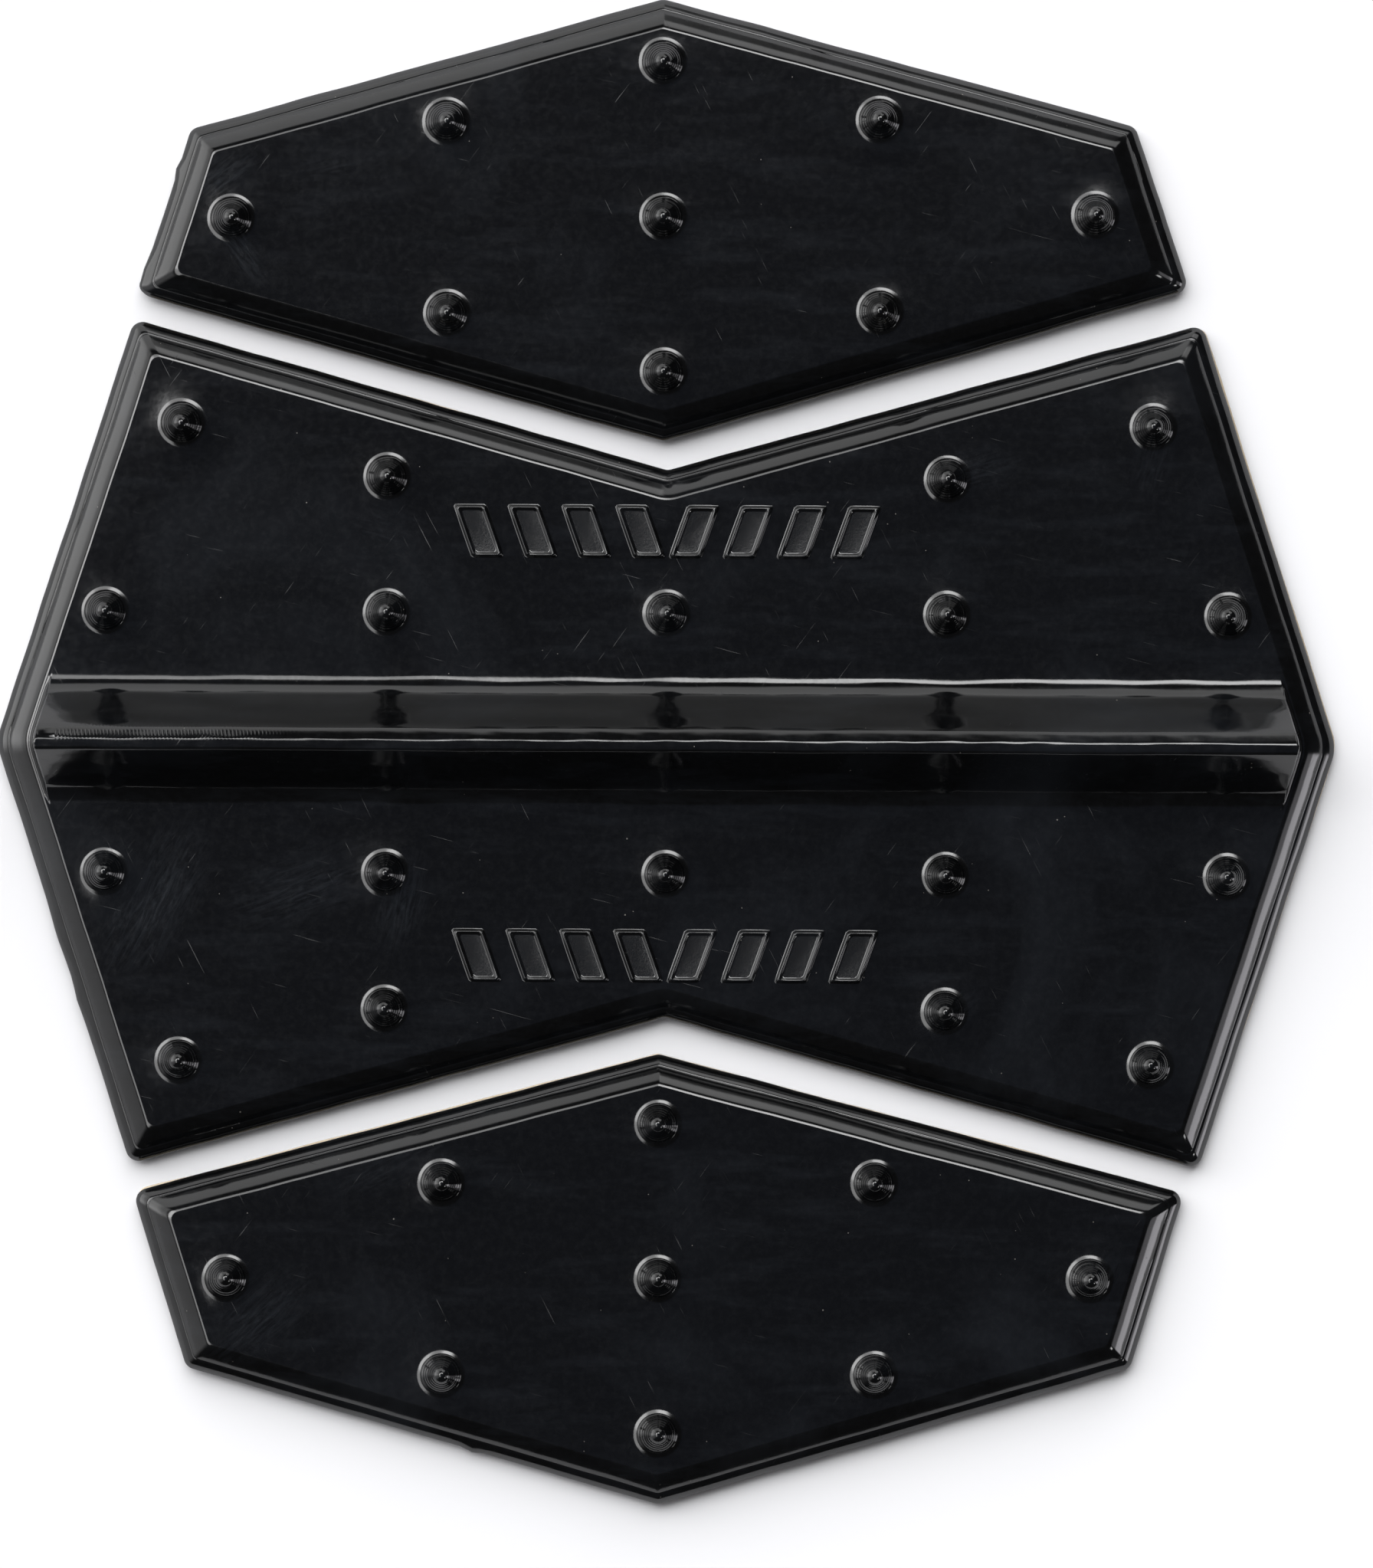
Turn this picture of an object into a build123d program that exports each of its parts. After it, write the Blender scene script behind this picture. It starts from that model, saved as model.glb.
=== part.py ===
"""Snowboard stomp pad: three studded grip sections that stick to the deck between the bindings.

Each section is one glossy polyurethane moulding on its own adhesive sheet and release liner.
Millimetres. The origin is on the resting plane, in the middle of the set. +Y points to the
front section, +X to the right, +Z up.
"""
import os
from math import cos, radians, sin

from build123d import *

os.makedirs("parts", exist_ok=True)

# Layout of the three sections as they are laid out on their liners
front_y = 49.65              # middle of each section along Y
centre_y = 0.7
rear_y = -48.95
outer_shift = -0.5           # the front and rear sections lie this much to the left
front_turn = 0.45            # degrees by which the front section is turned
rear_turn = 180.2            # the rear section is the front one turned round

# Plan of the centre section: an octagon side at each end, a shallow V notch front and rear
centre_half_width = 62.4     # side vertex, on the X axis
centre_corner_x = 49.7
centre_corner_y = 39.3
notch_y = 25.5

# Plan of a front or rear section: a long hexagon that fits the notch. The two are trimmed
# by hand after moulding, so their far points and near corners differ a little.
outer_inner_y = -20.8        # vertex that points into the notch
outer_shoulder_x = 43.95
outer_shoulder_y = 8.4
outer_corner_x = 48.95
front_apex_y = 20.4
front_corner_y = -6.9
rear_apex_y = 21.1
rear_corner_y = -7.9

corner_radius = 1.2
side_vertex_radius = 4.0

# Layers, from the resting plane up
liner_thickness = 0.15
adhesive_thickness = 0.5
rim_height = 1.4             # upright rim of the moulding
bevel_height = 1.15          # sloping edge above the rim
rim_width = 1.0              # plan width of the rim's ledge
bevel_width = 1.75           # plan width of the sloping edge
rim_fillet = 0.35
face_fillet = 0.4
adhesive_inset = 0.4         # the adhesive stops short of the moulding's edge
liner_overhang = 0.15        # the liner is cut a little large

# Grip studs: turned cones with stepped flanks and a round tip
stud_radius = 2.15
stud_height = 2.45
stud_tip_radius = 0.8
stud_steps = 3
stud_ring_depth = 0.1        # how far each turned step bites into the flank
stud_tip_start = 15.0        # degrees up the tip's sphere where the flank meets it
stud_flare = 0.2             # height of the flared foot
stud_foot_step = 0.4         # how far the foot stands out from the flank

# Cross ridge of the centre section
ridge_shift = 0.2            # the ridge lies this much towards the front of the section's middle
ridge_half_width = 6.1
flank_foot = 4.75            # where the flank's straight part would meet the face
ridge_height = 6.2
crest_half_width = 0.9
foot_fillet = 2.3
crest_fillet = 0.7
ridge_end_draft = 13.0       # degrees of slope on the ridge's two ends
ridge_end_overlap = 0.05     # the ridge's ends run this much onto the sloping edge

# Raised ornament either side of the ridge: slanted bars that lean away from the middle
ornament_y = 19.7
bar_count = 4                # on each side of the middle
bar_pitch = 5.0
bar_width = 2.9
bar_height = 4.8
bar_lean = 1.7               # sideways lean from a bar's foot to its head
bar_relief = 0.4

sink = 0.3                   # how far features start below the face, so that they fuse
tolerance = 0.01
side_region = (centre_corner_x + centre_half_width) / 2  # only side vertices lie beyond this |X|
pad_base = liner_thickness + adhesive_thickness
rim_top = pad_base + rim_height
face = rim_top + bevel_height
ridge_y = centre_y + ridge_shift

centre_corners = [
    (-centre_corner_x, centre_corner_y),
    (0, notch_y),
    (centre_corner_x, centre_corner_y),
    (centre_half_width, 0),
    (centre_corner_x, -centre_corner_y),
    (0, -notch_y),
    (-centre_corner_x, -centre_corner_y),
    (-centre_half_width, 0),
]


def hexagon(apex_y, corner_y):
    """Corners of a front or rear section."""
    return [
        (0, apex_y),
        (outer_shoulder_x, outer_shoulder_y),
        (outer_corner_x, corner_y),
        (0, outer_inner_y),
        (-outer_corner_x, corner_y),
        (-outer_shoulder_x, outer_shoulder_y),
    ]


front_corners = hexagon(front_apex_y, front_corner_y)
rear_corners = hexagon(rear_apex_y, rear_corner_y)

centre_studs = [(x, side * y) for side in (1, -1) for x, y in (
    (0, 12.1), (-26, 12.1), (26, 12.1), (-52.1, 12.1), (52.1, 12.1),
    (-26, 24.7), (26, 24.7), (-45.1, 29.6), (45.1, 29.6))]
outer_studs = [(0, 0), (0, 14.4), (0, -14.4), (-40.1, 0), (40.1, 0),
               (-20.1, 8.9), (20.1, 8.9), (-20.1, -8.9), (20.1, -8.9)]


def section_plane(x, y, turn):
    """Plane on the resting surface that a section is laid out on."""
    return Plane(Location((x, y, 0), (0, 0, turn)))


centre_plane = section_plane(0, centre_y, 0)
front_plane = section_plane(outer_shift, front_y, front_turn)
rear_plane = section_plane(outer_shift, rear_y, rear_turn)


def outline(plane, height, corners, growth):
    """Section outline at a height, grown or shrunk, with its corners rounded."""
    with BuildSketch(plane.offset(height)) as shape:
        with BuildLine():
            Polyline(*corners, close=True)
        make_face()
        if growth:
            offset(amount=growth, kind=Kind.INTERSECTION, mode=Mode.REPLACE)
        side_points = shape.vertices().filter_by(lambda v: abs(v.X) > side_region)
        if side_points:
            fillet(side_points, side_vertex_radius)
        fillet(shape.vertices().filter_by(lambda v: abs(v.X) < side_region), corner_radius)
    return shape.sketch


def sheet(plane, corners, growth, bottom, thickness):
    """Flat die-cut sheet with a section's outline."""
    with BuildPart() as blank:
        add(outline(plane, bottom, corners, growth))
        extrude(amount=thickness)
    return blank.part


def moulding_body(plane, corners):
    """Section without its studs: upright rim, narrow ledge, sloping edge and flat face."""
    with BuildPart() as body:
        add(outline(plane, pad_base, corners, 0))
        extrude(amount=rim_height)
        fillet(body.edges().group_by(Axis.Z)[-1], rim_fillet)
        add(outline(plane, rim_top - sink, corners, -rim_width))
        add(outline(plane, face, corners, -rim_width - bevel_width))
        loft(ruled=True)
        fillet(body.edges().group_by(Axis.Z)[-1], face_fillet)
    return body.part


def on_tip(angle):
    """Point on the stud's round tip, at an angle up from the horizontal."""
    centre_height = stud_height - stud_tip_radius
    return (stud_tip_radius * cos(radians(angle)), centre_height + stud_tip_radius * sin(radians(angle)))


with BuildPart() as stud:
    with BuildSketch(Plane.XZ) as stud_profile:
        tip_edge, flank_top = on_tip(stud_tip_start)
        foot_x = stud_radius - stud_foot_step
        flank_points = [(0, -sink), (stud_radius, -sink), (stud_radius, stud_flare / 2), (foot_x, stud_flare)]
        for step in range(1, stud_steps + 1):
            share = step / (stud_steps + 1)
            ring_x = foot_x + (tip_edge - foot_x) * share
            ring_z = stud_flare + (flank_top - stud_flare) * share
            flank_points += [(ring_x, ring_z - stud_ring_depth), (ring_x - stud_ring_depth, ring_z)]
        flank_points.append((tip_edge, flank_top))
        with BuildLine():
            Polyline(*flank_points)
            ThreePointArc(on_tip(stud_tip_start), on_tip((stud_tip_start + 90) / 2), on_tip(90))
            Line(on_tip(90), (0, -sink))
        make_face()
    revolve(axis=Axis.Z)

with BuildPart() as ridge:
    with BuildSketch(Plane((0, ridge_y, face), x_dir=(0, 1, 0), z_dir=(1, 0, 0))) as ridge_profile:
        with BuildLine():
            Polyline((-ridge_half_width, -sink), (-ridge_half_width, 0), (-flank_foot, 0),
                     (-crest_half_width, ridge_height), (crest_half_width, ridge_height),
                     (flank_foot, 0), (ridge_half_width, 0), (ridge_half_width, -sink), close=True)
        make_face()
        flank_feet = ridge_profile.vertices().filter_by(
            lambda v: abs(abs(v.Y - ridge_y) - flank_foot) < tolerance)
        fillet(flank_feet, foot_fillet)
    extrude(amount=centre_half_width, both=True)
    crest_edges = ridge.edges().filter_by(Axis.X).group_by(Axis.Z)[-1]
    fillet(crest_edges, crest_fillet)
    add(outline(centre_plane, face - sink, centre_corners, ridge_end_overlap - rim_width - bevel_width))
    extrude(amount=ridge_height + 2 * sink, taper=ridge_end_draft, mode=Mode.INTERSECT)

with BuildPart() as ornament:
    with BuildSketch(Plane.XY.offset(face - sink)) as bars:
        for side in (1, -1):
            for index in range(bar_count):
                foot = side * (index + 0.5) * bar_pitch - side * bar_lean / 2
                head = foot + side * bar_lean
                with BuildLine():
                    Polyline((foot - bar_width / 2, -bar_height / 2), (foot + bar_width / 2, -bar_height / 2),
                             (head + bar_width / 2, bar_height / 2), (head - bar_width / 2, bar_height / 2),
                             close=True)
                make_face()
    extrude(amount=bar_relief + sink)

with BuildPart() as centre_pad:
    add(moulding_body(centre_plane, centre_corners))
    add(ridge.part)
    with Locations(*[centre_plane * Location((0, side * ornament_y, 0)) for side in (1, -1)]):
        add(ornament.part)
    with Locations(*[centre_plane.offset(face) * Location((x, y, 0)) for x, y in centre_studs]):
        add(stud.part)

with BuildPart() as front_pad:
    add(moulding_body(front_plane, front_corners))
    with Locations(*[front_plane.offset(face) * Location((x, y, 0)) for x, y in outer_studs]):
        add(stud.part)

with BuildPart() as rear_pad:
    add(moulding_body(rear_plane, rear_corners))
    with Locations(*[rear_plane.offset(face) * Location((x, y, 0)) for x, y in outer_studs]):
        add(stud.part)

sections = {
    "centre": (centre_pad, centre_plane, centre_corners),
    "front": (front_pad, front_plane, front_corners),
    "rear": (rear_pad, rear_plane, rear_corners),
}
for name, (pad, plane, corners) in sections.items():
    pad.part.label = f"{name}_pad"
    adhesive = sheet(plane, corners, -adhesive_inset, liner_thickness, adhesive_thickness)
    adhesive.label = f"{name}_adhesive"
    liner = sheet(plane, corners, liner_overhang, 0, liner_thickness)
    liner.label = f"{name}_release_liner"
    for piece in (pad.part, adhesive, liner):
        export_step(piece, f"parts/{piece.label}.step")
        print(piece.label, len(piece.solids()), "solid", round(piece.volume, 1), "mm3")
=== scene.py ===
"""Looks of a snowboard stomp pad: glossy studded mouldings on their adhesive sheets and liners.

The plan of each section is worked out in millimetres about the section's own middle and is
placed in the frame when its mesh is made. Blender objects are in metres.
"""

import math
import random

import bpy
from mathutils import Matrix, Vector, geometry, noise


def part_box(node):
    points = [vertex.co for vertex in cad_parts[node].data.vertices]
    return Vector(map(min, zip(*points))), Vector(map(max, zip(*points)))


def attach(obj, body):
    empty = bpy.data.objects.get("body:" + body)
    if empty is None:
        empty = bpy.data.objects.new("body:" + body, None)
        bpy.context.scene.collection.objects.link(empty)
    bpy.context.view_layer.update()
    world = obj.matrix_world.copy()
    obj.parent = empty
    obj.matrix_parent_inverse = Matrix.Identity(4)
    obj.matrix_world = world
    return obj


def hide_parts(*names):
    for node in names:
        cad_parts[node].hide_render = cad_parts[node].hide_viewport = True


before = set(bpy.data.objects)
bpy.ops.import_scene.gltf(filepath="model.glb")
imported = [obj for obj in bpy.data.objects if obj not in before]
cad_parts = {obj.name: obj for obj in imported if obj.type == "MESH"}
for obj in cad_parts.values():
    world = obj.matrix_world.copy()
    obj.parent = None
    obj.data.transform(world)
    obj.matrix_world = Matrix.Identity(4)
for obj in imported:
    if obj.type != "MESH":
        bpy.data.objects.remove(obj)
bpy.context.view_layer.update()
MM = 0.001

# Heights above the resting plane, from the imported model
LINER_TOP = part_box("centre_release_liner")[1].z / MM
PAD_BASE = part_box("centre_pad")[0].z / MM
RIDGE_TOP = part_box("centre_pad")[1].z / MM

# Edge of a moulding
RIM_HEIGHT = 1.4
RIM_WIDTH = 1.0
FLASH_TOP = 7                # stations below this one, on the rim's wall, carry the flash
BEVEL_START = 12             # first station of the bevel, which wanders apart from the rim
BEVEL_HEIGHT = 1.15
BEVEL_WIDTH = 1.75
BEVEL_CROWN = 1.7            # power that rolls the bevel over into the face
FACE = PAD_BASE + RIM_HEIGHT + BEVEL_HEIGHT
FACE_INSET = RIM_WIDTH + BEVEL_WIDTH + 0.1

# Cross ridge
RIDGE_HALF_WIDTH = 6.1
RIDGE_SHIFT = 0.2
RIDGE_FLANK = math.radians(57)
RIDGE_FOOT_RADIUS = 2.3
RIDGE_HEIGHT = RIDGE_TOP - FACE
RIDGE_HALF_LENGTH = 59.22    # just short of the bevel's inner edge at the side vertices
SIDE_SLOPE = 0.323           # run in X of the centre's side edges for each unit in Y
RIDGE_END_STEEPNESS = 9.0
RIDGE_HIP_BLEND = 1.2        # rounding between the ridge's flanks and its ends
RIDGE_BODY_END = 54.4        # half length of the part that all the cuts across share
SCORED_END = 33.0            # the crest is scored from its left end to here
SCORED_CUT = 0.075           # spacing of the cuts along the scored part
SCORED_PITCH = 0.34
SCORED_DEPTH = 0.042

# Studs
STUD_SIDES = 48
STUD_SUPPORT_RADIUS = 2.34   # loop on the face around a stud's flared foot
STUD_HEIGHT = 2.2
STUD_TIP_RADIUS = 0.93
STUD_TIP_CENTRE = 1.27

# Raised ornament
BAR_HALF_WIDTH = 1.45
BAR_HALF_HEIGHT = 2.4
BAR_LEAN = 0.85
BAR_PITCH = 5.0
BAR_ROW_Y = 19.7
BAR_SUPPORT_GROWTH = 0.15    # loop on the face around a bar
BAR_PROFILE = ((-0.07, 0.0), (0.0, 0.03), (0.04, 0.3), (0.1, 0.42), (0.2, 0.46), (0.3, 0.42),
               (0.36, 0.35), (0.5, 0.34))

# Plan corners
CORNER_RADIUS = 1.2
LEAST_CORNER_RADIUS = 0.8
SIDE_VERTEX_RADIUS = 4.0
SIDE_VERTEX_X = 55           # only the centre's side vertices lie further out than this

CENTRE_CORNERS = [(-49.7, 39.3), (0, 25.5), (49.7, 39.3), (62.4, 0),
                  (49.7, -39.3), (0, -25.5), (-49.7, -39.3), (-62.4, 0)]


def hexagon(apex_y, corner_y):
    """Corners of a front or rear section."""
    return [(0, apex_y), (43.95, 8.4), (48.95, corner_y), (0, -20.8), (-48.95, corner_y), (-43.95, 8.4)]


CENTRE_STUDS = [(x, side * y) for side in (1, -1) for x, y in (
    (0, 12.1), (-26, 12.1), (26, 12.1), (-52.1, 12.1), (52.1, 12.1),
    (-26, 24.7), (26, 24.7), (-45.1, 29.6), (45.1, 29.6))]
OUTER_STUDS = [(0, 0), (0, 14.4), (0, -14.4), (-40.1, 0), (40.1, 0),
               (-20.1, 8.9), (20.1, 8.9), (-20.1, -8.9), (20.1, -8.9)]

# name: middle, turn in degrees, corners, studs, nubs of flash on the rim as (x, y, height, width)
SECTIONS = {
    "centre": ((0, 0.7), 0, CENTRE_CORNERS, CENTRE_STUDS,
               [(-54.6, -24.2, 0.14, 1.2), (-56.6, -18.0, 0.1, 2.0)]),
    "front": ((-0.5, 49.65), 0.45, hexagon(20.4, -6.9), OUTER_STUDS,
              [(-45.2, 4.4, 0.28, 0.5), (-48.0, -4.6, 0.22, 1.1), (-48.6, -6.2, 0.2, 0.6)]),
    "rear": ((-0.5, -48.95), 180.2, hexagon(21.1, -7.9), OUTER_STUDS, [(17.0, 16.2, 0.3, 0.5)]),
}

# Wiped smears on the faces: x, y, direction in degrees, half length, half width, strength
SMEARS = [
    (-41.6, 53.2, 35, 4.2, 2.2, 0.8), (-39.5, 46.2, -55, 4.5, 1.8, 0.7), (-30.5, 55.0, 10, 7.5, 3.0, 0.35),
    (-47.5, -13.8, 62, 9.0, 4.5, 0.75), (-33.5, -12.5, 20, 9.0, 4.0, 0.6), (-24.5, -14.0, 75, 5.5, 2.8, 0.6),
    (-50.5, 31.0, 80, 5.0, 3.0, 0.35), (-26.0, 20.5, -20, 5.5, 3.5, 0.4), (29.0, 26.5, 15, 5.0, 2.6, 0.45),
    (45.0, 27.0, 70, 4.0, 2.4, 0.35), (-37.5, -52.5, 40, 7.0, 3.8, 0.55), (-26.0, -38.5, 25, 7.5, 2.8, 0.4),
    (26.5, -23.8, 35, 4.2, 2.4, 0.4), (40.5, -48.5, 60, 3.6, 2.4, 0.35), (0.5, 11.5, 0, 4.2, 3.2, 0.3)]


class Shape:
    """Vertices, faces and face materials of a mesh being made, in millimetres."""

    def __init__(self):
        self.points = []
        self.faces = []
        self.kinds = []

    def point(self, x, y, z):
        self.points.append((x, y, z))
        return len(self.points) - 1

    def ring(self, plan, z):
        return [self.point(x, y, z) for x, y in plan]

    def face(self, corners, kind=0):
        self.faces.append(corners)
        self.kinds.append(kind)

    def bridge(self, low, high):
        """Quads between two rings of the same count."""
        count = len(low)
        for i in range(count):
            j = (i + 1) % count
            self.face((low[i], high[i], high[j], low[j]))

    def build(self, name, place, materials):
        """Blender object in metres, at a section's place in the frame."""
        (middle_x, middle_y), turn = place
        c, s = math.cos(math.radians(turn)), math.sin(math.radians(turn))
        world = [((x * c - y * s + middle_x) * MM, (x * s + y * c + middle_y) * MM, z * MM)
                 for x, y, z in self.points]
        mesh = bpy.data.meshes.new(name)
        mesh.from_pydata(world, [], self.faces)
        for material in materials:
            mesh.materials.append(material)
        mesh.polygons.foreach_set("material_index", self.kinds)
        mesh.polygons.foreach_set("use_smooth", [True] * len(self.faces))
        mesh.validate()
        mesh.update()
        piece = bpy.data.objects.new(name, mesh)
        bpy.context.scene.collection.objects.link(piece)
        return piece


def inset_corners(corners, distance):
    """Corners of a clockwise outline moved inward by a distance."""
    moved = []
    count = len(corners)
    for i in range(count):
        before, here, after = (Vector(corners[k % count]) for k in (i - 1, i, i + 1))
        first, second = (here - before).normalized(), (after - here).normalized()
        n1, n2 = Vector((first.y, -first.x)), Vector((second.y, -second.x))
        moved.append(tuple(here + (n1 + n2) * distance / (1 + n1.dot(n2))))
    return moved


def rounded_ring(corners, inset, step=1.2):
    """Plan points of a clockwise outline at an inset, with rounded corners and evenly cut edges."""
    shrunk = inset_corners(corners, inset)
    count = len(corners)
    stretches = []
    for i in range(count):
        before, here, after = (Vector(shrunk[k % count]) for k in (i - 1, i, i + 1))
        arriving, leaving = (here - before).normalized(), (after - here).normalized()
        turn = arriving.angle_signed(leaving)
        convex = turn > 0
        if abs(corners[i][0]) > SIDE_VERTEX_X:
            radius = SIDE_VERTEX_RADIUS
        elif convex:
            radius = max(CORNER_RADIUS - inset, LEAST_CORNER_RADIUS)
        else:
            radius = CORNER_RADIUS * 0.7 + inset
        reach = radius * math.tan(abs(turn) / 2)
        start, end = here - arriving * reach, here + leaving * reach
        pull = 4 / 3 * math.tan(abs(turn) / 4) * radius
        handles = [start, start + arriving * pull, end - leaving * pull, end]
        arc_points = geometry.interpolate_bezier(*[h.to_3d() for h in handles], 9)
        stretches.append([(p.x, p.y) for p in arc_points])
    ring = []
    for i in range(count):
        arc_points, following = stretches[i], stretches[(i + 1) % count]
        ring += arc_points
        length = math.dist(corners[i], corners[(i + 1) % count])
        cuts = max(2, round(length / step))
        for k in range(1, cuts):
            t = k / cuts
            ring.append(tuple(a + (b - a) * t for a, b in zip(arc_points[-1], following[0])))
    return ring


def wobble(plan, amount, length, seed, nubs=()):
    """Moves plan points in and out a little along the outline's normal, as hand-finished edges do."""
    moved = []
    count = len(plan)
    for i in range(count):
        (x0, y0), (x, y), (x1, y1) = (plan[k % count] for k in (i - 1, i, i + 1))
        along = Vector((x1 - x0, y1 - y0)).normalized()
        outward = Vector((-along.y, along.x))
        shift = amount * noise.noise(Vector((x / length, y / length, seed)))
        shift += amount * 0.4 * noise.noise(Vector((x * 3 / length, y * 3 / length, seed + 9)))
        for nub_x, nub_y, height, width in nubs:
            shift += height * math.exp(-((x - nub_x) ** 2 + (y - nub_y) ** 2) / width ** 2)
        moved.append((x + outward.x * shift, y + outward.y * shift))
    return moved


def swell(x, y, seed):
    """Slow unevenness of a cast face, in millimetres."""
    slow = noise.noise(Vector((x / 17, y / 11, seed)))
    quick = noise.noise(Vector((x / 4, y / 4, seed + 5)))
    return 0.02 * slow + 0.006 * quick


def edge_profile():
    """Stations of a moulding's edge as (inset, height, wobble, wobble length)."""
    stations = [(0.3, 0.0, 0.03, 6), (0.08, 0.0, 0.05, 6), (0.0, 0.12, 0.07, 6)]
    wall, lip = 0.45, RIM_HEIGHT - 0.02
    for u in (0, 0.05, 0.14, 0.28, 0.45, 0.64, 0.84, 1):
        rise = 0.42 * u + 0.58 * (1 - (1 - u) ** 2.2)
        stations.append((RIM_WIDTH * 0.95 * u, wall + (lip - wall) * rise, 0.07, 6))
    stations.append((RIM_WIDTH - 0.01, RIM_HEIGHT - 0.02, 0.07, 6))
    stations.append((RIM_WIDTH + 0.03, RIM_HEIGHT - 0.02, 0.07, 9))
    for u in (0.03, 0.12, 0.24, 0.36, 0.48, 0.58, 0.67, 0.75, 0.81, 0.86, 0.9, 0.93, 0.955, 0.975, 0.99, 1):
        inset = RIM_WIDTH + 0.05 + (FACE_INSET - RIM_WIDTH - 0.05) * u
        stations.append((inset, RIM_HEIGHT + BEVEL_HEIGHT * (1 - (1 - u) ** BEVEL_CROWN), 0.07, 9))
    return stations


def stud_profile():
    """Stud section as (radius, height): a shallow skirt, a stepped cone and a round tip."""
    profile = [(2.2, 0.012), (2.08, 0.032), (1.96, 0.056), (1.84, 0.092), (1.77, 0.13), (1.74, 0.2)]
    foot, top = (1.74, 0.2), (0.84, 1.66)
    for share, depth in ((0.15, 1), (0.36, 0.9), (0.58, 0.35), (0.78, 0.25)):
        for lift, out in ((-0.06, -0.02), (-0.015, 0.04), (0.03, 0.045), (0.07, -0.01)):
            t = share + lift
            profile.append((foot[0] + (top[0] - foot[0]) * t + out * depth, foot[1] + (top[1] - foot[1]) * t))
    profile += [(0.93, 1.5), (0.88, 1.6), (0.85, 1.68)]
    for angle in (27, 36, 45, 54, 63, 72, 81):
        a = math.radians(angle)
        rise = (STUD_HEIGHT - STUD_TIP_CENTRE + 0.02) * math.sin(a)
        profile.append((STUD_TIP_RADIUS * math.cos(a), STUD_TIP_CENTRE + rise))
    return profile


def add_stud(shape, x, y, seed, face_seed):
    """Stud on the face. Returns the loop where it meets the face."""
    chooser = random.Random(seed)
    lean_x, lean_y = chooser.uniform(-0.025, 0.025), chooser.uniform(-0.025, 0.025)
    turn = chooser.uniform(0, math.tau)
    base = FACE + swell(x, y, face_seed)
    loop = []
    last = None
    for radius, height in [(STUD_SUPPORT_RADIUS, 0)] + stud_profile():
        ring = []
        for k in range(STUD_SIDES):
            a = turn - math.tau * k / STUD_SIDES
            grow = 1 + 0.012 * noise.noise(Vector((math.cos(a), math.sin(a), height * 1.5 + seed)))
            px, py = x + radius * grow * math.cos(a), y + radius * grow * math.sin(a)
            if last is None:
                ring.append(shape.point(px, py, FACE + swell(px, py, face_seed)))
            else:
                ring.append(shape.point(px + lean_x * height, py + lean_y * height, base + height))
        if last is None:
            loop = ring
        else:
            shape.bridge(last, ring)
        last = ring
    tip = shape.point(x + lean_x * STUD_HEIGHT, y + lean_y * STUD_HEIGHT, base + STUD_HEIGHT)
    for k in range(STUD_SIDES):
        shape.face((last[(k + 1) % STUD_SIDES], last[k], tip))
    return loop


def ridge_section():
    """Stations across the ridge as (y, height), from the front foot to the rear foot."""
    foot = [(RIDGE_HALF_WIDTH - RIDGE_FOOT_RADIUS * math.sin(RIDGE_FLANK * k / 9),
             RIDGE_FOOT_RADIUS * (1 - math.cos(RIDGE_FLANK * k / 9))) for k in range(10)]
    top = RIDGE_HEIGHT
    front_crest = [(1.12, top - 0.5), (1.06, top - 0.43), (0.98, top - 0.38), (0.78, top - 0.28),
                   (0.56, top - 0.19), (0.34, top - 0.1), (0.2, top - 0.05), (0.1, top - 0.02),
                   (0.02, top - 0.004)]
    rear_crest = [(-0.1, top), (-0.4, top), (-0.68, top), (-0.78, top - 0.015), (-0.88, top - 0.06),
                  (-0.97, top - 0.14), (-1.05, top - 0.25)]
    foot_y, foot_z = foot[-1]
    flanks = []
    for sign, (crest_y, crest_z) in ((1, front_crest[0]), (-1, rear_crest[-1])):
        reach, rise = abs(crest_y) - foot_y, crest_z - foot_z
        flanks.append([(sign * (foot_y + reach * k / 7), foot_z + rise * k / 7) for k in range(1, 7)])
    rear_foot = [(-y, z) for y, z in reversed(foot)]
    return foot + flanks[0] + front_crest + rear_crest + flanks[1][::-1] + rear_foot


def smooth_min(a, b, blend):
    """Smaller of two numbers, with a rounded change from one to the other."""
    h = max(blend - abs(a - b), 0) / blend
    return min(a, b) - h * h * blend / 4


def ridge_end(y):
    """Half length of the ridge's foot at a distance across, which follows the bevel's inner edge."""
    return RIDGE_HALF_LENGTH - SIDE_SLOPE * math.sqrt(y * y + 0.4)


def ridge_height(reach, section):
    """Height of the ridge at a distance in from its foot, read from half its section."""
    for (y0, z0), (y1, z1) in zip(section, section[1:]):
        if RIDGE_HALF_WIDTH - abs(y1) >= reach:
            t = (reach - RIDGE_HALF_WIDTH + abs(y0)) / max(abs(y0) - abs(y1), 1e-6)
            return z0 + (z1 - z0) * t
    return section[-1][1]


def ridge_columns():
    """Places of the cuts along the ridge, close together at its ends and where the crest is scored."""
    near_end = [0.055 * k for k in range(15)] + [0.85, 0.95, 1.1, 1.3, 1.6, 1.9, 2.2, 2.5]
    xs = [-RIDGE_BODY_END + SCORED_CUT * k for k in range(round((RIDGE_BODY_END - SCORED_END) / SCORED_CUT))]
    reach = RIDGE_BODY_END + SCORED_END
    plain = round(reach / 0.36)
    xs += [-SCORED_END + reach * k / plain for k in range(plain + 1)]
    return near_end, xs


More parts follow.
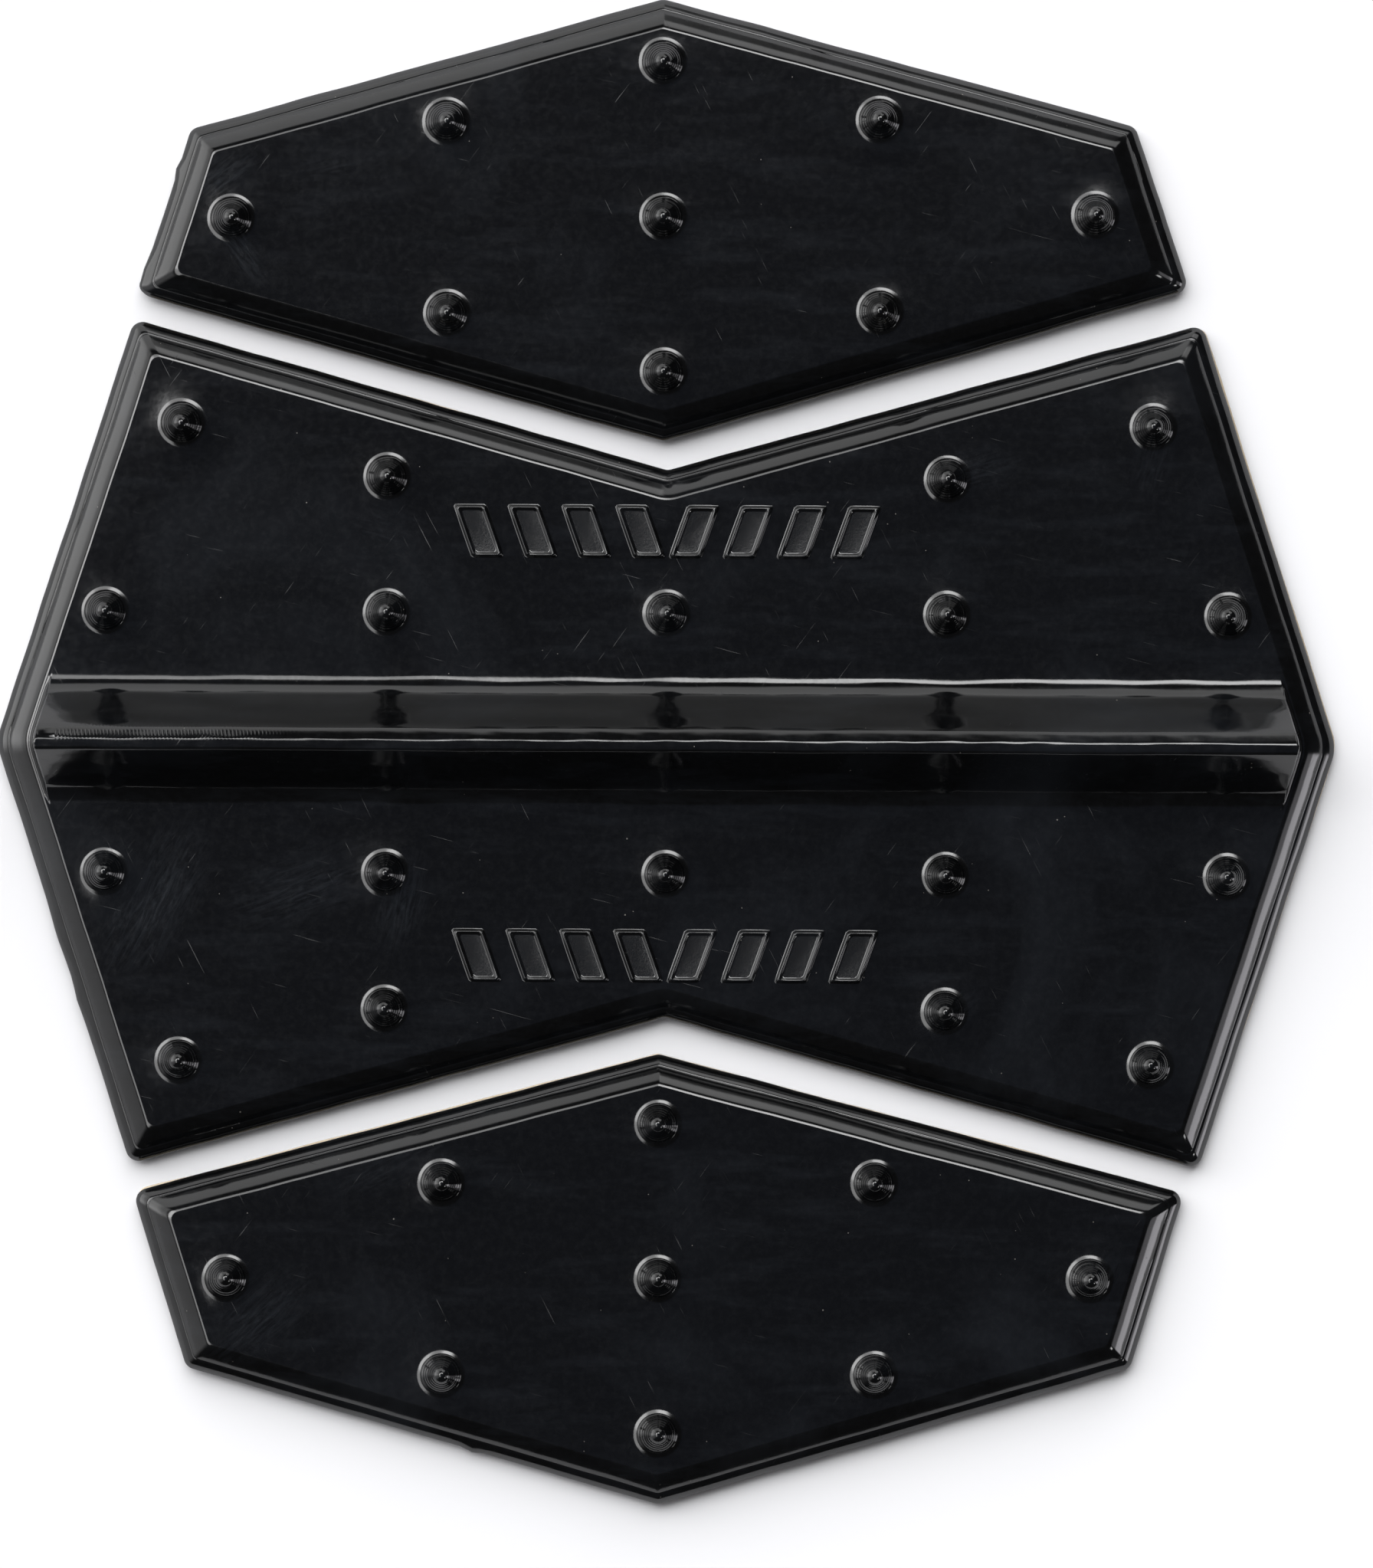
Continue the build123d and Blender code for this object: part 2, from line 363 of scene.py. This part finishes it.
def add_ridge(shape, seed):
    """Cross ridge with steep rounded ends. Returns the loop where it meets the face."""
    near_end, body = ridge_columns()
    section = ridge_section()
    front_half = [(y, z) for y, z in section if y > 0] + [(0, RIDGE_HEIGHT)]
    rear_half = [(y, z) for y, z in reversed(section) if y < 0]
    rows = []
    for y, height in section:
        end = ridge_end(y + RIDGE_SHIFT)
        half = front_half if y > 0 else rear_half
        first = -end + near_end[-1]
        scored = [first + (body[0] - first) * k / 27 for k in range(1, 27)]
        xs = [-end + w for w in near_end] + scored + body + [end - w for w in reversed(near_end)]
        row = []
        for x in xs:
            across = RIDGE_HALF_WIDTH - abs(y)
            along = (end - abs(x)) * RIDGE_END_STEEPNESS
            z = ridge_height(max(smooth_min(across, along, RIDGE_HIP_BLEND), 0), half) if height > 0 else 0
            level = z / RIDGE_HEIGHT
            z += 0.025 * level ** 6 * noise.noise(Vector((x / 2.3, y * 2, seed)))
            marks = max(0, min(1, (-x - SCORED_END) / 9)) * max(0, 1 - abs(y - 0.55) / 0.6) * level ** 4
            bow = 1.5 * (y - 0.55) ** 2
            phase = (x + bow) * math.tau / SCORED_PITCH + 1.6 * noise.noise(Vector((x / 2, 0, 3)))
            z += SCORED_DEPTH * marks * math.sin(phase)
            bend = 0.07 * noise.noise(Vector((x / 9, level * 4, seed + 2))) * min(1, z)
            foot = 0.2 * noise.noise(Vector((x / 6, y, seed + 4))) * max(0, 1 - z / 0.5) * min(1, along / 4)
            row.append(shape.point(x, y + RIDGE_SHIFT + bend + foot, FACE + z + swell(x, y, seed)))
        rows.append(row)
    for upper, lower in zip(rows, rows[1:]):
        for k in range(len(upper) - 1):
            shape.face((upper[k], lower[k], lower[k + 1], upper[k + 1]))
    right = [row[-1] for row in rows[1:]]
    left = [row[0] for row in reversed(rows[1:-1])]
    return rows[0] + right + list(reversed(rows[-1][:-1])) + left


def bar_plan(corners, inset):
    """Plan points around a bar at an inset, with two close to each corner."""
    small = inset_corners(corners, inset)
    plan = []
    for i in range(4):
        here, after = Vector(small[i]), Vector(small[(i + 1) % 4])
        span = (after - here).length
        plan += [tuple(here.lerp(after, t)) for t in (0.2 / span, 0.33, 0.66, 1 - 0.2 / span)]
    return plan


def add_bar(shape, x, y, lean, seed):
    """One slanted bar of the raised ornament. Returns the loop where it meets the face."""
    width, height = BAR_HALF_WIDTH, BAR_HALF_HEIGHT
    corners = [(x + lean - width, y + height), (x + lean + width, y + height),
               (x - lean + width, y - height), (x - lean - width, y - height)]
    loop = [shape.point(px, py, FACE + swell(px, py, seed))
            for px, py in bar_plan(corners, -BAR_SUPPORT_GROWTH)]
    last = loop
    for inset, rise in BAR_PROFILE:
        ring = [shape.point(px, py, FACE + rise + swell(px, py, seed)) for px, py in bar_plan(corners, inset)]
        shape.bridge(last, ring)
        last = ring
    shape.face(tuple(reversed(last)), 1)
    return loop


def inside(x, y, loop):
    """True if a plan point lies inside a loop of plan points."""
    hit = False
    for (x0, y0), (x1, y1) in zip(loop, loop[1:] + loop[:1]):
        if (y0 > y) != (y1 > y) and x < (x1 - x0) * (y - y0) / (y1 - y0) + x0:
            hit = not hit
    return hit


def fill_face(shape, border, holes, seed, spacing=2.4):
    """Flat face between its border and the loops that stand on it, cut into near-even triangles."""
    loops = [border] + holes
    plans = [[shape.points[i][:2] for i in loop] for loop in loops]
    used = [i for loop in loops for i in loop]
    plan = [Vector(shape.points[i][:2]) for i in used]
    edges = []
    start = 0
    for loop in loops:
        count = len(loop)
        edges += [(start + k, start + (k + 1) % count) for k in range(count)]
        start += count
    boxes = [(min(p[0] for p in h), max(p[0] for p in h), min(p[1] for p in h), max(p[1] for p in h))
             for h in plans]

    def on_face(x, y, margin=0.0):
        if not inside(x, y, plans[0]):
            return False
        for hole, (x0, x1, y0, y1) in zip(plans[1:], boxes[1:]):
            near = x0 - margin < x < x1 + margin and y0 - margin < y < y1 + margin
            if near and (margin or inside(x, y, hole)):
                return False
        return True

    chooser = random.Random(seed)
    x0, x1, y0, y1 = boxes[0]
    y = y0 + spacing
    while y < y1 - spacing:
        x = x0 + spacing
        while x < x1 - spacing:
            px, py = x + chooser.uniform(-0.6, 0.6), y + chooser.uniform(-0.6, 0.6)
            if on_face(px, py, 0.7) and all(on_face(px + dx, py + dy) for dx, dy in
                                            ((0.8, 0), (-0.8, 0), (0, 0.8), (0, -0.8))):
                used.append(shape.point(px, py, FACE + swell(px, py, seed)))
                plan.append(Vector((px, py)))
            x += spacing
        y += spacing
    points, _, faces, origins, _, _ = geometry.delaunay_2d_cdt(plan, edges, [], 0, 1e-5)
    for triangle in faces:
        cx = sum(points[i].x for i in triangle) / 3
        cy = sum(points[i].y for i in triangle) / 3
        if on_face(cx, cy):
            shape.face(tuple(used[origins[i][0]] for i in triangle))


def make_moulding(name, index, materials):
    """One section's moulding, from underside to studs, with the ridge and bars if it is the centre."""
    middle, turn, corners, studs, nubs = SECTIONS[name]
    shape = Shape()
    seed = 10.0 * index + 3
    last = None
    for station, (inset, height, amount, length) in enumerate(edge_profile()):
        plan = rounded_ring(corners, inset)
        pattern = seed + (0 if station < BEVEL_START else 20)
        plan = wobble(plan, amount, length, pattern, nubs if 1 < station < FLASH_TOP else ())
        level = PAD_BASE + height
        uneven = height > RIM_HEIGHT + 0.3
        ring = [shape.point(x, y, level + (swell(x, y, seed) if uneven else 0)) for x, y in plan]
        if last is None:
            shape.face(tuple(ring))
        else:
            shape.bridge(last, ring)
        last = ring
    holes = [add_stud(shape, x, y, 100 * index + k, seed) for k, (x, y) in enumerate(studs)]
    if name == "centre":
        holes.append(add_ridge(shape, seed))
        for side in (1, -1):
            for k in range(-4, 4):
                lean = BAR_LEAN if k >= 0 else -BAR_LEAN
                holes.append(add_bar(shape, (k + 0.5) * BAR_PITCH, side * BAR_ROW_Y, lean, seed))
    fill_face(shape, last, holes, seed)
    piece = shape.build(f"{name}_moulding", (middle, turn), materials)
    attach(piece, f"{name}_section")
    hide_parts(f"{name}_pad")
    return piece


def make_sheet(name, layer, growth, low, high, shift, material, body, node, seed):
    """Thin die-cut sheet under a moulding, a little out of register with it."""
    middle, turn, corners, _, _ = SECTIONS[name]
    shape = Shape()
    thickness = high - low
    soft = min(0.05, thickness * 0.3)
    stations = [(-growth + soft, low), (-growth, low + soft), (-growth, high - soft), (-growth + soft, high)]
    last = None
    for inset, height in stations:
        plan = wobble(rounded_ring(corners, inset), 0.1, 9, seed)
        ring = shape.ring([(x + shift[0], y + shift[1]) for x, y in plan], height)
        if last is None:
            shape.face(tuple(ring))
        else:
            shape.bridge(last, ring)
        last = ring
    shape.face(tuple(reversed(last)))
    piece = shape.build(f"{name}_{layer}", (middle, turn), [material])
    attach(piece, body)
    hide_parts(node)
    return piece


# Materials -----------------------------------------------------------------------------------

class Nodes:
    """Node tree of a new material, with short ways to add nodes."""

    def __init__(self, name):
        self.material = bpy.data.materials.new(name)
        self.material.use_nodes = True
        self.tree = self.material.node_tree
        self.shader = self.tree.nodes["Principled BSDF"]
        coordinates = self.tree.nodes.new("ShaderNodeTexCoord")
        self.place = self.scaled(coordinates.outputs["Object"], (1000, 1000, 1000))

    def link(self, source, target):
        self.tree.links.new(source, target)

    def scaled(self, vector, scale, rotation=(0, 0, 0)):
        node = self.tree.nodes.new("ShaderNodeMapping")
        node.inputs["Scale"].default_value = scale
        node.inputs["Rotation"].default_value = rotation
        self.link(vector, node.inputs["Vector"])
        return node.outputs["Vector"]

    def noise(self, scale, detail=3, rough=0.5, vector=None, distort=0.0):
        node = self.tree.nodes.new("ShaderNodeTexNoise")
        node.inputs["Scale"].default_value = scale
        node.inputs["Detail"].default_value = detail
        node.inputs["Roughness"].default_value = rough
        node.inputs["Distortion"].default_value = distort
        self.link(vector or self.place, node.inputs["Vector"])
        return node.outputs["Fac"]

    def cells(self, scale, vector=None):
        node = self.tree.nodes.new("ShaderNodeTexVoronoi")
        node.inputs["Scale"].default_value = scale
        self.link(vector or self.place, node.inputs["Vector"])
        return node.outputs["Distance"], node.outputs["Color"]

    def range(self, value, low, high, to_low=0.0, to_high=1.0):
        node = self.tree.nodes.new("ShaderNodeMapRange")
        for name, number in (("From Min", low), ("From Max", high), ("To Min", to_low), ("To Max", to_high)):
            node.inputs[name].default_value = number
        self.link(value, node.inputs["Value"])
        return node.outputs["Result"]

    def math(self, operation, a, b):
        node = self.tree.nodes.new("ShaderNodeMath")
        node.operation = operation
        for socket, value in zip(node.inputs, (a, b)):
            if isinstance(value, (int, float)):
                socket.default_value = value
            else:
                self.link(value, socket)
        return node.outputs["Value"]

    def mix(self, factor, a, b):
        node = self.tree.nodes.new("ShaderNodeMix")
        node.data_type = "RGBA"
        self.link(factor, node.inputs["Factor"])
        for socket, value in ((node.inputs[6], a), (node.inputs[7], b)):
            if isinstance(value, tuple):
                socket.default_value = (*value, 1)
            else:
                self.link(value, socket)
        return node.outputs[2]

    def bump(self, height, distance, strength=1.0, normal=None):
        node = self.tree.nodes.new("ShaderNodeBump")
        node.inputs["Distance"].default_value = distance
        node.inputs["Strength"].default_value = strength
        self.link(height, node.inputs["Height"])
        if normal is not None:
            self.link(normal, node.inputs["Normal"])
        return node.outputs["Normal"]


def dust(n):
    """Mask of sparse small specks of dust."""
    mask = None
    for scale, size, share in ((0.7, 0.045, 0.8), (0.33, 0.03, 0.72)):
        distance, colour = n.cells(scale)
        speck = n.range(distance, size, size * 0.6)
        split = n.tree.nodes.new("ShaderNodeSeparateColor")
        n.link(colour, split.inputs["Color"])
        chosen = n.math("GREATER_THAN", split.outputs["Red"], share)
        part = n.math("MULTIPLY", speck, chosen)
        mask = part if mask is None else n.math("MAXIMUM", mask, part)
    return mask


def scratches(n):
    """Mask of fine straight scratches in a few directions."""
    mask = None
    for angle, place in ((0.25, 11), (1.1, 23), (2.2, 37)):
        turned = n.scaled(n.place, (1, 1, 1), (0, 0, angle))
        line = n.range(n.noise(1.0, 2, 0.5, n.scaled(turned, (0.16, 6.0, 1.0))), 0.72, 0.75)
        area = n.range(n.noise(0.11, 1, 0.5, n.scaled(n.place, (1, 1, 1), (0, 0, place))), 0.5, 0.6)
        part = n.math("MULTIPLY", line, area)
        mask = part if mask is None else n.math("MAXIMUM", mask, part)
    return mask


def wiped_smears(n):
    """Mask of the hazy streaks that a wiping cloth leaves beside studs and near the edges."""
    mask = None
    for x, y, angle, length, width, share in SMEARS:
        moved = n.tree.nodes.new("ShaderNodeVectorMath")
        moved.operation = "SUBTRACT"
        n.link(n.place, moved.inputs[0])
        moved.inputs[1].default_value = (x, y, FACE)
        turned = n.scaled(moved.outputs["Vector"], (1, 1, 1), (0, 0, -math.radians(angle)))
        shaped = n.scaled(turned, (1 / length, 1 / width, 0.3))
        reach = n.tree.nodes.new("ShaderNodeVectorMath")
        reach.operation = "LENGTH"
        n.link(shaped, reach.inputs[0])
        cloud = n.range(reach.outputs["Value"], 1.0, 0.15)
        streaks = n.range(n.noise(1.0, 4, 0.65, n.scaled(turned, (0.22, 1.3, 0.5)), 1.6), 0.38, 0.76)
        part = n.math("MULTIPLY", n.math("MULTIPLY", cloud, streaks), share)
        mask = part if mask is None else n.math("MAXIMUM", mask, part)
    return mask


def urethane_material():
    """Glossy near-black cast urethane with hazy smears, dust and light scratches."""
    n = Nodes("gloss_urethane")
    haze = n.range(n.noise(0.045, 5, 0.6, None, 0.6), 0.52, 0.82)
    film = n.range(n.noise(1.3, 5, 0.75), 0.42, 0.68)
    brushed = n.range(n.noise(1.0, 4, 0.6, n.scaled(n.place, (0.09, 0.5, 0.1), (0, 0, 0.9))), 0.5, 0.8)
    soft = n.math("MULTIPLY", n.math("MAXIMUM", haze, n.math("MULTIPLY", brushed, 0.6)), 0.36)
    smear = n.math("MAXIMUM", soft, wiped_smears(n))
    specks = dust(n)
    scored = scratches(n)
    colour = n.mix(film, (0.0018, 0.0019, 0.0021), (0.0027, 0.0029, 0.0033))
    colour = n.mix(smear, colour, (0.018, 0.021, 0.026))
    colour = n.mix(n.math("MULTIPLY", specks, 0.35), colour, (0.26, 0.24, 0.21))
    n.link(colour, n.shader.inputs["Base Color"])
    rough = n.math("ADD", n.math("MULTIPLY", smear, 0.08), n.range(film, 0, 1, 0.09, 0.12))
    rough = n.math("ADD", rough, n.math("MULTIPLY", n.math("MAXIMUM", specks, scored), 0.2))
    n.link(rough, n.shader.inputs["Roughness"])
    peel = n.bump(n.noise(0.45, 2), 0.001, 0.012)
    fine = n.bump(n.noise(3.5, 3, 0.6), 0.001, 0.004, peel)
    cut = n.bump(n.math("ADD", n.math("MULTIPLY", scored, 0.3), specks), 0.001, 0.008, fine)
    n.link(cut, n.shader.inputs["Normal"])
    n.shader.inputs["IOR"].default_value = 1.5
    return n.material


def grain_material():
    """Matte, finely grained top of the raised ornament."""
    n = Nodes("grained_urethane")
    grain = n.noise(5.5, 3, 0.7)
    n.link(n.mix(n.range(grain, 0.4, 0.7), (0.003, 0.003, 0.0035), (0.008, 0.009, 0.010)),
           n.shader.inputs["Base Color"])
    n.link(n.range(grain, 0.35, 0.65, 0.2, 0.14), n.shader.inputs["Roughness"])
    n.link(n.bump(grain, 0.001, 0.045), n.shader.inputs["Normal"])
    n.shader.inputs["Specular IOR Level"].default_value = 0.4
    return n.material


def adhesive_material():
    """Off-white acrylic foam with fine open pores."""
    n = Nodes("foam_adhesive")
    pores, _ = n.cells(7.0)
    tone = n.noise(0.6, 4)
    n.link(n.mix(tone, (0.50, 0.47, 0.40), (0.68, 0.65, 0.58)), n.shader.inputs["Base Color"])
    n.link(n.range(pores, 0.0, 0.5, 0.45, 0.7), n.shader.inputs["Roughness"])
    n.link(n.bump(pores, 0.001, 0.06), n.shader.inputs["Normal"])
    return n.material


def liner_material():
    """Tan silicone-coated release paper with a soft fibre grain."""
    n = Nodes("release_paper")
    fibres = n.noise(1.0, 4, 0.65, n.scaled(n.place, (0.7, 2.6, 1.0), (0, 0, 0.15)))
    n.link(n.mix(fibres, (0.50, 0.40, 0.27), (0.68, 0.58, 0.43)), n.shader.inputs["Base Color"])
    n.link(n.range(fibres, 0.3, 0.7, 0.32, 0.48), n.shader.inputs["Roughness"])
    n.link(n.bump(fibres, 0.001, 0.02), n.shader.inputs["Normal"])
    return n.material


# Studio --------------------------------------------------------------------------------------

def make_floor():
    """Pale floor, far larger than the view."""
    n = Nodes("pale_floor")
    tone = n.mix(n.noise(0.01, 2), (0.200, 0.200, 0.206), (0.206, 0.206, 0.210))
    n.link(tone, n.shader.inputs["Base Color"])
    n.shader.inputs["Roughness"].default_value = 0.9
    n.shader.inputs["Specular IOR Level"].default_value = 0.1
    reach = 6.0
    mesh = bpy.data.meshes.new("floor")
    mesh.from_pydata([(-reach, -reach, 0), (reach, -reach, 0), (reach, reach, 0), (-reach, reach, 0)],
                     [], [(0, 1, 2, 3)])
    mesh.materials.append(n.material)
    floor = bpy.data.objects.new("floor", mesh)
    bpy.context.scene.collection.objects.link(floor)
    return floor


class Sky:
    """Soft studio light from all round, as radiance against direction, added up lobe by lobe."""

    def __init__(self, ambient):
        self.world = bpy.data.worlds.new("studio")
        self.world.use_nodes = True
        self.tree = self.world.node_tree
        direction = self.tree.nodes.new("ShaderNodeTexCoord").outputs["Generated"]
        axes = self.tree.nodes.new("ShaderNodeSeparateXYZ")
        self.tree.links.new(direction, axes.inputs[0])
        self.azimuth = self.math("DEGREES", self.math("ARCTAN2", axes.outputs["Y"], axes.outputs["X"]))
        self.elevation = self.math("DEGREES", self.math("ARCSINE", axes.outputs["Z"]))
        self.total = None
        self.ambient = ambient

    def math(self, operation, a, b=0.0, c=0.0):
        node = self.tree.nodes.new("ShaderNodeMath")
        node.operation = operation
        for socket, value in zip(node.inputs, (a, b, c)):
            if isinstance(value, (int, float)):
                socket.default_value = value
            else:
                self.tree.links.new(value, socket)
        return node.outputs["Value"]

    def window(self, value, middle, half, soft, turns=False):
        """1 within half of the middle, falling smoothly to 0 over the soft margin."""
        offset = self.math("SUBTRACT", value, middle)
        if turns:
            offset = self.math("WRAP", offset, 180, -180)
        node = self.tree.nodes.new("ShaderNodeMapRange")
        node.interpolation_type = "SMOOTHSTEP"
        for name, number in (("From Min", half), ("From Max", half + soft), ("To Min", 1), ("To Max", 0)):
            node.inputs[name].default_value = number
        self.tree.links.new(self.math("ABSOLUTE", offset), node.inputs["Value"])
        return node.outputs["Result"]

    def lobe(self, azimuths, elevations, radiance, colour=(1, 1, 1), soft=(15, 6)):
        """Light from a range of azimuths, from +X towards +Y, and of elevations, in degrees."""
        middle, half = sum(azimuths) / 2, (azimuths[1] - azimuths[0]) / 2
        share = self.window(self.elevation, sum(elevations) / 2, (elevations[1] - elevations[0]) / 2, soft[1])
        if half < 180:
            share = self.math("MULTIPLY", share, self.window(self.azimuth, middle, half, soft[0], True))
        scaled = self.tree.nodes.new("ShaderNodeVectorMath")
        scaled.operation = "SCALE"
        scaled.inputs[0].default_value = [radiance * c for c in colour]
        self.tree.links.new(share, scaled.inputs["Scale"])
        added = self.tree.nodes.new("ShaderNodeVectorMath")
        added.operation = "ADD"
        self.tree.links.new(scaled.outputs["Vector"], added.inputs[0])
        if self.total is None:
            added.inputs[1].default_value = self.ambient
        else:
            self.tree.links.new(self.total, added.inputs[1])
        self.total = added.outputs["Vector"]

    def light_up(self):
        self.tree.links.new(self.total, self.tree.nodes["Background"].inputs["Color"])
        bpy.context.scene.world = self.world


def ground_key(floor):
    """Low broad light from the back left that falls on the floor alone and gives it its soft shadow."""
    ground = bpy.data.collections.new("lit_ground")
    ground.objects.link(floor)
    data = bpy.data.lights.new("ground_key", "SUN")
    data.energy = 31.0
    data.angle = math.radians(110)
    item = bpy.data.objects.new("ground_key", data)
    bpy.context.scene.collection.objects.link(item)
    item.rotation_euler = (0, math.radians(90 - 16), math.radians(108))
    item.light_linking.receiver_collection = ground


def make_studio():
    """Light wall behind and to the left, a bright strip above it, a softbox low on the right."""
    sky = Sky((0.03, 0.028, 0.027))
    sky.lobe((-180, 180), (80, 90), 0.05, (0.75, 0.95, 1.5), (0, 12))
    sky.lobe((90, 117), (0, 35), 1.7, soft=(20, 10))
    sky.lobe((137, 175), (0, 50), 1.7, soft=(20, 12))
    sky.lobe((55, 79), (24, 44), 2.2, soft=(8, 8))
    sky.lobe((142, 180), (0, 24), 1.5, soft=(20, 20))
    sky.lobe((180, 205), (0, 50), 0.95, (1, 1, 1.02), (30, 12))
    sky.lobe((60, 228), (65, 77), 4.5, soft=(12, 4))
    sky.lobe((66, 86), (65, 77), 8.0, soft=(12, 4))
    sky.lobe((135, 172), (65, 77), 6.0, soft=(15, 4))
    sky.lobe((-24, -11), (0, 16), 5.5, (0.97, 0.95, 1.0), (5, 6))
    sky.lobe((-24, -11), (22, 38), 1.5, (0.97, 0.95, 1.0), (5, 8))
    sky.lobe((-43, -36), (35, 41), 10.0, soft=(3, 2.5))
    sky.light_up()


def make_camera():
    """Long-lens camera looking straight down on the set."""
    distance = 0.88
    seen_height = 0.14614
    data = bpy.data.cameras.new("camera")
    data.sensor_width = 36
    data.lens = data.sensor_width * distance / seen_height
    data.clip_start, data.clip_end = 0.01, 20
    camera = bpy.data.objects.new("camera", data)
    bpy.context.scene.collection.objects.link(camera)
    camera.location = (0.0019, -0.0030, distance)
    camera.rotation_euler = (0, 0, math.radians(0.3))
    bpy.context.scene.camera = camera
    bpy.context.scene.view_settings.view_transform = "Standard"


make_camera()
urethane, grained = urethane_material(), grain_material()
foam, paper = adhesive_material(), liner_material()
made = []
for index, name in enumerate(SECTIONS):
    made.append(make_moulding(name, index, [urethane, grained]))
    made.append(make_sheet(name, "foam_sheet", -0.4, LINER_TOP, PAD_BASE, (0, 0), foam,
                           f"{name}_section", f"{name}_adhesive", 50 + index))
    slip = {"centre": (0.42, 0.2), "front": (0.05, 0.1), "rear": (0.1, -0.35)}[name]
    made.append(make_sheet(name, "paper_liner", -0.3, 0, LINER_TOP, slip, paper,
                           f"{name}_liner", f"{name}_release_liner", 60 + index))
ground_key(make_floor())
make_studio()
